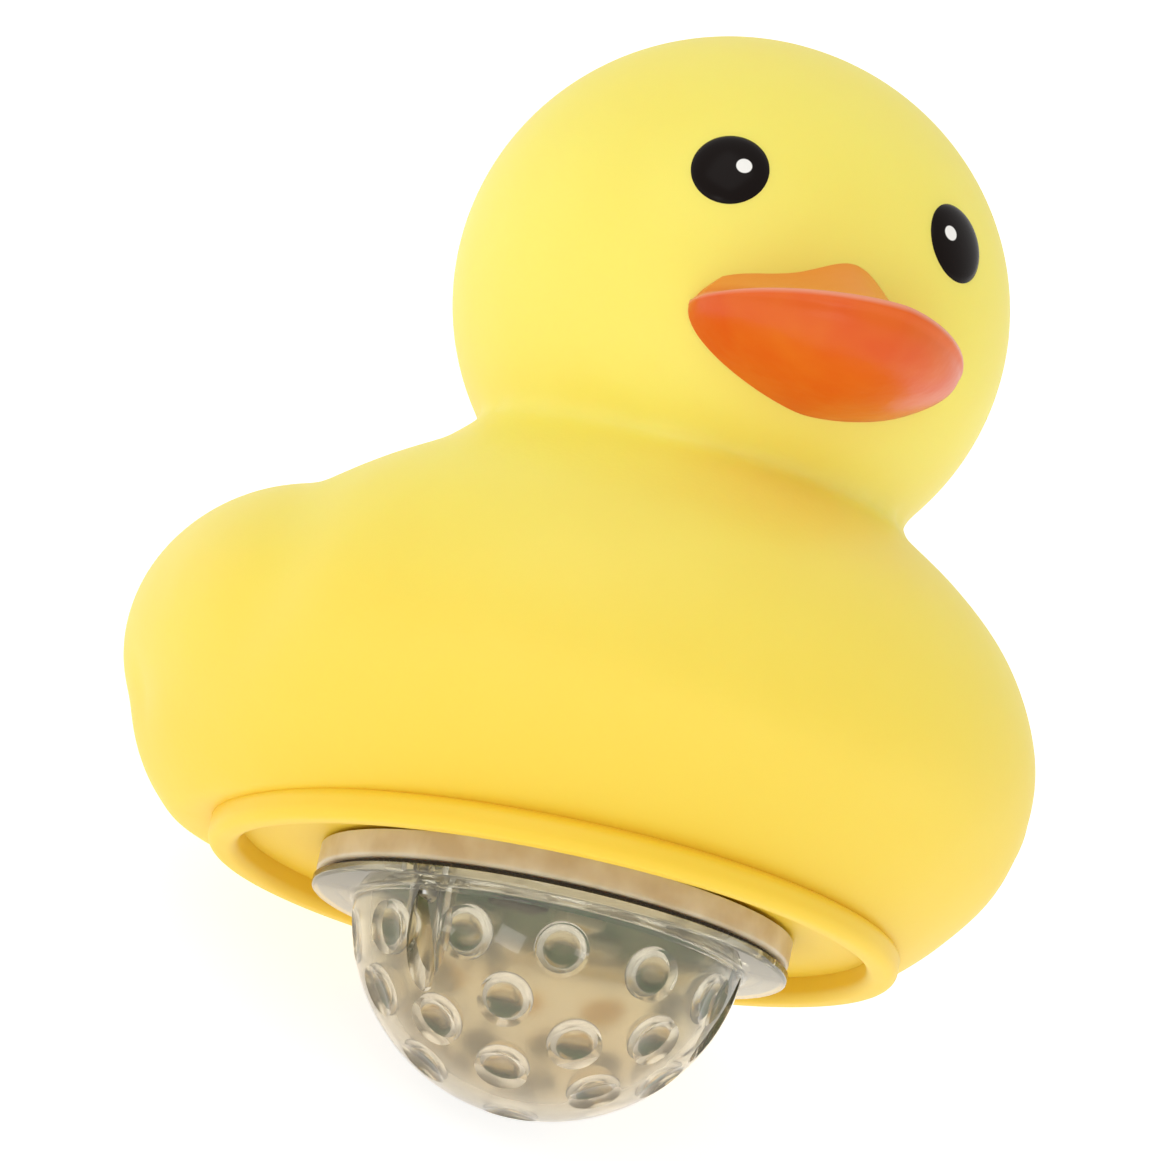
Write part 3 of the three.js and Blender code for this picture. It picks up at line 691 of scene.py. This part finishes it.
inner_radius = DOME_RADIUS - DOME_WALL
screw_spots = [around(SCREW_CIRCLE, turn) for turn in SCREW_TURNS]
core = placed("core", ball((inner_radius,) * 3, WELL_STEPS, Matrix.Translation(DOME_CENTRE)))
wall = [(POCKET_RADIUS + POCKET_WALL, -2 * DOME_RADIUS), (POCKET_RADIUS + POCKET_WALL, CUT_TOP)]
carve(core, "DIFFERENCE", *[rod(wall, spot) for spot in screw_spots])
carve(core, "DIFFERENCE", *[
    ball((BULGE_RADIUS,) * 3, BULGE_STEPS, Matrix.Translation(DOME_CENTRE + dimple * BULGE_REACH))
    for dimple in dimples
])
bm = bmesh.new()
bm.from_mesh(core.data)
bpy.data.objects.remove(core)
carve(lens, "DIFFERENCE", bm)
pocket = [
    (POCKET_RADIUS, -2 * DOME_RADIUS),
    (POCKET_RADIUS, SCREW_SEAT),
    (SCREW_BORE, SCREW_SEAT),
    (SCREW_BORE, CUT_TOP),
]
carve(lens, "DIFFERENCE", *[rod(pocket, spot) for spot in screw_spots])

# Clear polystyrene, moulded: polished outside, slightly frosted inside, milky enough to glow, with a painted
# reflection that tints it warmer and paler toward its crown
FROST_REACH = 0.6
FROST_EDGE = 0.1

clear, tree, shader, place = new_material("clear_moulded_polystyrene")
height = add(tree, "ShaderNodeSeparateXYZ", {0: place})
# Painted reflection: the tint turns warmer and paler toward the crown, standing in for the beige that shows
# through the dome
painted_reflection_tint = add(tree, "ShaderNodeMapRange", {"Value": height.outputs["Z"], "From Min": -2, "From Max": -18})
tint = add(tree, "ShaderNodeMix", {
    "Factor": painted_reflection_tint.outputs["Result"], "A": linear("#E4DFC9"), "B": linear("#F2E4C8"),
}, data_type="RGBA")
tree.links.new(tint.outputs[2], shader.inputs["Base Color"])
between_walls = inner_radius + FROST_REACH
depth = add(tree, "ShaderNodeVectorMath", {0: place, 1: DOME_CENTRE}, operation="DISTANCE")
frost = add(tree, "ShaderNodeMapRange", {
    "Value": depth.outputs["Value"],
    "From Min": between_walls - FROST_EDGE,
    "From Max": between_walls + FROST_EDGE,
    "To Min": 0.2,
    "To Max": 0.03,
})
tree.links.new(frost.outputs["Result"], shader.inputs["Roughness"])
shader.inputs["IOR"].default_value = 1.5
shader.inputs["Transmission Weight"].default_value = 0.91
laid_back(lens, clear, ["dome_lens"], crease=18)

# The seal is a flat moulded ring of black nitrile rubber, pressed between the collar and the dome's flange. Its
# ribbed edge shows as a dark line.
SEAL_OUTER = 29.3
SEAL_INNER = 27.2
SEAL_RIBS = 180
SEAL_RIB_DEPTH = 0.25
SEAL_RIB_SHARE = 0.25

seal_top, seal_bottom = SEAL_MIDDLE + SEAL_THICKNESS / 2, SEAL_MIDDLE - SEAL_THICKNESS / 2
bm = spun([
    (SEAL_INNER, seal_bottom),
    (SEAL_OUTER, seal_bottom),
    (SEAL_OUTER, seal_top),
    (SEAL_INNER, seal_top),
    (SEAL_INNER, seal_bottom),
], 2 * SEAL_RIBS)
for vert in bm.verts:
    turn = math.atan2(vert.co.x, vert.co.y) / (2 * math.pi) * SEAL_RIBS
    if vert.co.xy.length > SEAL_OUTER - SEAL_RIB_DEPTH and abs(turn - round(turn)) > SEAL_RIB_SHARE:
        vert.co.xy *= 1 - SEAL_RIB_DEPTH / SEAL_OUTER

# Nitrile rubber: brown-black and half matt
rubber, tree, shader, place = new_material("black_nitrile_rubber")
shader.inputs["Base Color"].default_value = linear("#2A2622")
shader.inputs["Roughness"].default_value = 0.45
laid_back(placed("seal", bm), rubber, ["seal_ring"], crease=20)

# The lamp's cup is moulded in beige translucent plastic. Its collar shows under the well floor, a groove above
# the collar grips the skin, and three posts inside take the screws.
COLLAR_RADIUS = 30.1
COLLAR_BOTTOM = 0.1
COLLAR_ROUND = 0.5
COLLAR_BITE = 0.1
CLEARANCE = 0.3
CUP_WALL = 1.6
CUP_TOP = 22.2
POST_RADIUS = 3.0
POST_TOP = 7.6
POST_BORE_TOP = 5.1
INNER_FLANGE_RADIUS = 30.6
INNER_FLANGE_THICKNESS = 1.6
INNER_FLANGE_SLOPE = 1.0

collar_top = WELL_DEPTH + COLLAR_BITE
grip_top = skin_top + CLEARANCE
cup_outer = GRIP_RADIUS - CLEARANCE
cup_inner = cup_outer - CUP_WALL
bm = spun(
    [(cup_inner, COLLAR_BOTTOM)]
    + arc(COLLAR_RADIUS - COLLAR_ROUND, COLLAR_BOTTOM + COLLAR_ROUND, COLLAR_ROUND, -90, 0, 5)
    + [(COLLAR_RADIUS, collar_top)]
    + [
        (cup_outer, collar_top),
        (cup_outer, grip_top),
        (INNER_FLANGE_RADIUS, grip_top),
        (INNER_FLANGE_RADIUS - INNER_FLANGE_SLOPE, grip_top + INNER_FLANGE_THICKNESS),
        (cup_outer, grip_top + INNER_FLANGE_THICKNESS),
        (cup_outer, CUP_TOP - CUP_WALL),
        (cup_outer - CUP_WALL, CUP_TOP),
        (0, CUP_TOP),
        (0, CUP_TOP - CUP_WALL),
        (cup_inner, CUP_TOP - CUP_WALL),
        (cup_inner, COLLAR_BOTTOM),
    ],
    RIM_STEPS,
)
cup = placed("lamp_cup", bm)
post = [(POST_RADIUS, COLLAR_BOTTOM), (POST_RADIUS, POST_TOP)]
bore = [(SCREW_BORE, COLLAR_BOTTOM - 1), (SCREW_BORE, POST_BORE_TOP)]
carve(cup, "UNION", *[rod(post, spot) for spot in screw_spots])
carve(cup, "DIFFERENCE", *[rod(bore, spot) for spot in screw_spots])

# Beige translucent polypropylene: cloudy flow marks some 6 mm wide, and light comes a short way through it
frosted, tree, shader, place = new_material("beige_translucent_polypropylene")
flow = add(tree, "ShaderNodeTexNoise", {"Vector": place, "Scale": 1 / 6, "Detail": 3})
cloud = add(tree, "ShaderNodeMapRange", {"Value": flow.outputs["Fac"], "From Min": 0.35, "From Max": 0.65})
tint = add(tree, "ShaderNodeMix", {
    "Factor": cloud.outputs["Result"], "A": linear("#C2B195"), "B": linear("#D6CBB6"),
}, data_type="RGBA")
tree.links.new(tint.outputs[2], shader.inputs["Base Color"])
shader.inputs["Roughness"].default_value = 0.35
shader.inputs["Subsurface Weight"].default_value = 0.9
shader.inputs["Subsurface Radius"].default_value = (1.0, 0.8, 0.6)
shader.inputs["Subsurface Scale"].default_value = 3 * MM
laid_back(cup, frosted, ["lamp_housing"])

# The lamp's circuit board is a disc of green glass laminate, punched out with notches for the screw posts. It
# sits between them in the mouth of the cup.
BOARD_RADIUS = 22.2
BOARD_THICKNESS = 1.2
BOARD_TOP = 1.6

board_bottom = BOARD_TOP - BOARD_THICKNESS
disc = rod([(BOARD_RADIUS, board_bottom), (BOARD_RADIUS, BOARD_TOP)], Vector(), WELL_STEPS)
board = placed("lamp_board", disc)
notch = [(POST_RADIUS + CLEARANCE, -BOARD_TOP), (POST_RADIUS + CLEARANCE, 2 * BOARD_TOP)]
carve(board, "DIFFERENCE", *[rod(notch, spot) for spot in screw_spots])

# Green solder mask: copper tracks under it make it lighter in bent bands a millimetre or two wide
BAND_TURNS = 90

laminate, tree, shader, place = new_material("green_solder_mask_laminate")
bend = add(tree, "ShaderNodeTexNoise", {"Vector": place, "Scale": 1 / 14, "Detail": 0})
bands = add(tree, "ShaderNodeMath", {0: bend.outputs["Fac"], 1: BAND_TURNS}, operation="MULTIPLY")
ripple = add(tree, "ShaderNodeMath", {0: bands.outputs["Value"]}, operation="SINE")
copper = add(tree, "ShaderNodeMapRange", {
    "Value": ripple.outputs["Value"], "From Min": 0.1, "From Max": 0.25,
})
mask = add(tree, "ShaderNodeMix", {
    "Factor": copper.outputs["Result"], "A": linear("#15502E"), "B": linear("#237245"),
}, data_type="RGBA")
tree.links.new(mask.outputs[2], shader.inputs["Base Color"])
shader.inputs["Roughness"].default_value = 0.3
shader.inputs["Specular IOR Level"].default_value = 0.2
laid_back(board, laminate, ["circuit_board"])

# Three square lamps are soldered to the board. Each is a moulded white body with a round window that is filled
# with yellow phosphor.
LED_TURNS = (0, 120, 240)
LED_CIRCLE = 9.5
LED_SIZE = 5.0
LED_HEIGHT = 1.6
LED_WINDOW = 1.9
LED_FILL_GAP = 0.05
LED_FILL_SUNK = 0.3
LED_FILL_CROWN = 0.2
LED_FILL_TOP = 0.5
SMALL_STEPS = 40
EDGE_ROUND = 0.2


def block(size, middle, rounding=EDGE_ROUND):
    """A box with rounded edges."""
    bm = bmesh.new()
    bmesh.ops.create_cube(bm, size=1, matrix=Matrix.Translation(middle) @ Matrix.Diagonal((*size, 1)))
    bmesh.ops.bevel(bm, geom=bm.edges, offset=rounding, segments=3, profile=0.5, affect="EDGES")
    return bm


# White moulded polyphthalamide: slightly rough, with haze 1.5 mm wide
led_body, tree, shader, place = new_material("white_led_plastic")
haze = add(tree, "ShaderNodeTexNoise", {"Vector": place, "Scale": 1 / 1.5, "Detail": 2})
tint = add(tree, "ShaderNodeMix", {
    "Factor": haze.outputs["Fac"], "A": linear("#E9E6DC"), "B": linear("#F6F4EE"),
}, data_type="RGBA")
tree.links.new(tint.outputs[2], shader.inputs["Base Color"])
shader.inputs["Roughness"].default_value = 0.4

# Silicone with yellow phosphor: glossy, in grains of 0.8 mm, drawn coarser than real ones so that they show
phosphor, tree, shader, place = new_material("yellow_phosphor_silicone")
haze = add(tree, "ShaderNodeTexNoise", {"Vector": place, "Scale": 1 / 0.8, "Detail": 2})
tint = add(tree, "ShaderNodeMix", {
    "Factor": haze.outputs["Fac"], "A": linear("#E8C85A"), "B": linear("#F0DA86"),
}, data_type="RGBA")
tree.links.new(tint.outputs[2], shader.inputs["Base Color"])
shader.inputs["Roughness"].default_value = 0.2

led_top = board_bottom - CLEARANCE
for i, turn in enumerate(LED_TURNS, 1):
    spot = around(LED_CIRCLE, turn)
    middle = spot + Vector((0, 0, led_top - LED_HEIGHT / 2))
    led = placed(f"led_body_{i}", block((LED_SIZE, LED_SIZE, LED_HEIGHT), middle))
    face = led_top - LED_HEIGHT
    carve(led, "DIFFERENCE", rod([(LED_WINDOW, face - 1), (LED_WINDOW, face + LED_HEIGHT / 3)], spot))
    laid_back(led, led_body, [f"led_{i}"])
    sunk, fill = face + LED_FILL_SUNK, LED_WINDOW - LED_FILL_GAP
    window = [(r, sunk + (z - sunk) * LED_FILL_CROWN) for r, z in arc(0, sunk, fill, -90, 0, 6)]
    cap = spun(window + [(fill, face + LED_FILL_TOP), (0, face + LED_FILL_TOP)], SMALL_STEPS)
    bmesh.ops.translate(cap, verts=cap.verts, vec=spot)
    laid_back(placed(f"led_window_{i}", cap), phosphor, [f"led_{i}"])

# The control chip is a moulded block of black epoxy with a marking pip, soldered to the board by eight leads of
# tinned steel.
CHIP_SIZE = Vector((6.0, 5.0, 1.7))
CHIP_PLACE = Vector((-9.0, -12.5, 0.0))
LEAD_PITCH = 1.27
LEAD_WIDTH = 0.4
LEAD_THICKNESS = 0.2
LEAD_REACH = 0.5
LEAD_ROUND = 0.05
LEADS_A_SIDE = 4
PIP_RADIUS = 0.4
PIP_DEPTH = 0.15

chip_middle = CHIP_PLACE + Vector((0, 0, led_top - CHIP_SIZE.z / 2))
chip = placed("chip_block", block(CHIP_SIZE, chip_middle))
chip_face = led_top - CHIP_SIZE.z
pip = CHIP_PLACE + Vector((-CHIP_SIZE.x / 3, CHIP_SIZE.y / 4, 0))
carve(chip, "DIFFERENCE", rod([(PIP_RADIUS, chip_face - 1), (PIP_RADIUS, chip_face + PIP_DEPTH)], pip))

# Black epoxy: dull, with fine filler of 0.25 mm
epoxy, tree, shader, place = new_material("black_epoxy")
filler = add(tree, "ShaderNodeTexNoise", {"Vector": place, "Scale": 1 / 0.25, "Detail": 2})
tint = add(tree, "ShaderNodeMix", {
    "Factor": filler.outputs["Fac"], "A": linear("#121214"), "B": linear("#232326"),
}, data_type="RGBA")
tree.links.new(tint.outputs[2], shader.inputs["Base Color"])
shader.inputs["Roughness"].default_value = 0.55
laid_back(chip, epoxy, ["control_chip"])

# Tinned steel: bright, its shine uneven every 0.6 mm
tinned, tree, shader, place = new_material("tinned_steel")
streak = add(tree, "ShaderNodeTexNoise", {"Vector": place, "Scale": 1 / 0.6, "Detail": 2})
shine = add(tree, "ShaderNodeMapRange", {"Value": streak.outputs["Fac"], "To Min": 0.2, "To Max": 0.42})
tree.links.new(shine.outputs["Result"], shader.inputs["Roughness"])
shader.inputs["Base Color"].default_value = linear("#C4C3BF")
shader.inputs["Metallic"].default_value = 1.0

leads = []
for side in (-1, 1):
    for i in range(LEADS_A_SIDE):
        y = (i - (LEADS_A_SIDE - 1) / 2) * LEAD_PITCH
        x = side * (CHIP_SIZE.x / 2 + LEAD_REACH / 2)
        flat = Vector((LEAD_REACH + LEAD_THICKNESS, LEAD_WIDTH, LEAD_THICKNESS))
        leads.append(block(flat, CHIP_PLACE + Vector((x, y, led_top - LEAD_THICKNESS)), LEAD_ROUND))
laid_back(placed("chip_leads", joined(leads)), tinned, ["control_chip"])

# Three small self-tapping screws of tinned steel hold the dome and its seal to the cup's posts. Their pan heads
# with a cross recess sit in the dome's pockets.
SCREW_HEAD_RADIUS = 1.9
SCREW_HEAD_HEIGHT = 1.3
SCREW_HEAD_CROWN = 0.5
SCREW_HEAD_PROFILE = ((0.6, 0.08), (0.9, 0.3))
SCREW_RADIUS = 1.0
SCREW_LENGTH = 6.5
SCREW_THREAD = 0.8
SCREW_THREAD_DEPTH = 0.2
SCREW_THREAD_START = 0.6
SCREW_THREAD_TURNS = 7
RECESS_LENGTH = 2.2
RECESS_WIDTH = 0.5
RECESS_DEPTH = 0.8
RECESS_ROUND = 0.05

head_top = SCREW_SEAT - CLEARANCE
head_bottom = head_top - SCREW_HEAD_HEIGHT
thread = []
for i in range(SCREW_THREAD_TURNS):
    z = head_top + SCREW_THREAD_START + i * SCREW_THREAD
    thread += [(SCREW_RADIUS - SCREW_THREAD_DEPTH, z), (SCREW_RADIUS, z + SCREW_THREAD / 2)]
screw_profile = [
    (0, head_bottom),
    *[(SCREW_HEAD_RADIUS * part, head_bottom + rise) for part, rise in SCREW_HEAD_PROFILE],
    (SCREW_HEAD_RADIUS, head_top - SCREW_HEAD_CROWN),
    (SCREW_HEAD_RADIUS, head_top),
    (SCREW_RADIUS, head_top),
    *thread,
    (0, SCREW_SEAT + SCREW_LENGTH),
]
for i, spot in enumerate(screw_spots, 1):
    bm = spun(screw_profile, SMALL_STEPS)
    bmesh.ops.translate(bm, verts=bm.verts, vec=spot)
    screw = placed(f"pan_head_screw_{i}", bm)
    for long, wide in ((RECESS_LENGTH, RECESS_WIDTH), (RECESS_WIDTH, RECESS_LENGTH)):
        slot = block((long, wide, 2 * RECESS_DEPTH), spot + Vector((0, 0, head_bottom)), RECESS_ROUND)
        carve(screw, "DIFFERENCE", slot)
    laid_back(screw, tinned, [f"dome_screw_{i}"], crease=30)

# Inside the cup the CAD pieces keep their shapes and only get their materials: the tilt switch, the tray that
# holds two cells and the contact leaves at the cells' ends.

# Black moulded ABS: slightly glossy, with haze 3 mm wide
tray_black, tree, shader, place = new_material("black_moulded_tray_plastic")
haze = add(tree, "ShaderNodeTexNoise", {"Vector": place, "Scale": 1 / 3, "Detail": 2})
tint = add(tree, "ShaderNodeMix", {
    "Factor": haze.outputs["Fac"], "A": linear("#161616"), "B": linear("#242424"),
}, data_type="RGBA")
tree.links.new(tint.outputs[2], shader.inputs["Base Color"])
shader.inputs["Roughness"].default_value = 0.45

# Shrunk cell jacket: dark blue-grey film with a soft metallic sheen, uneven every 5 mm
jacket, tree, shader, place = new_material("shrunk_cell_jacket")
haze = add(tree, "ShaderNodeTexNoise", {"Vector": place, "Scale": 1 / 5, "Detail": 2})
tint = add(tree, "ShaderNodeMix", {
    "Factor": haze.outputs["Fac"], "A": linear("#343A42"), "B": linear("#4A515A"),
}, data_type="RGBA")
tree.links.new(tint.outputs[2], shader.inputs["Base Color"])
shader.inputs["Roughness"].default_value = 0.3
shader.inputs["Metallic"].default_value = 0.5

for node, finish in {
    "tilt_switch": tinned,
    "battery_tray": tray_black,
    "battery_1": jacket,
    "battery_2": jacket,
    "contact_bridge": tinned,
    "contact_minus": tinned,
    "contact_plus": tinned,
}.items():
    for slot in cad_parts[node].material_slots:
        slot.material = finish
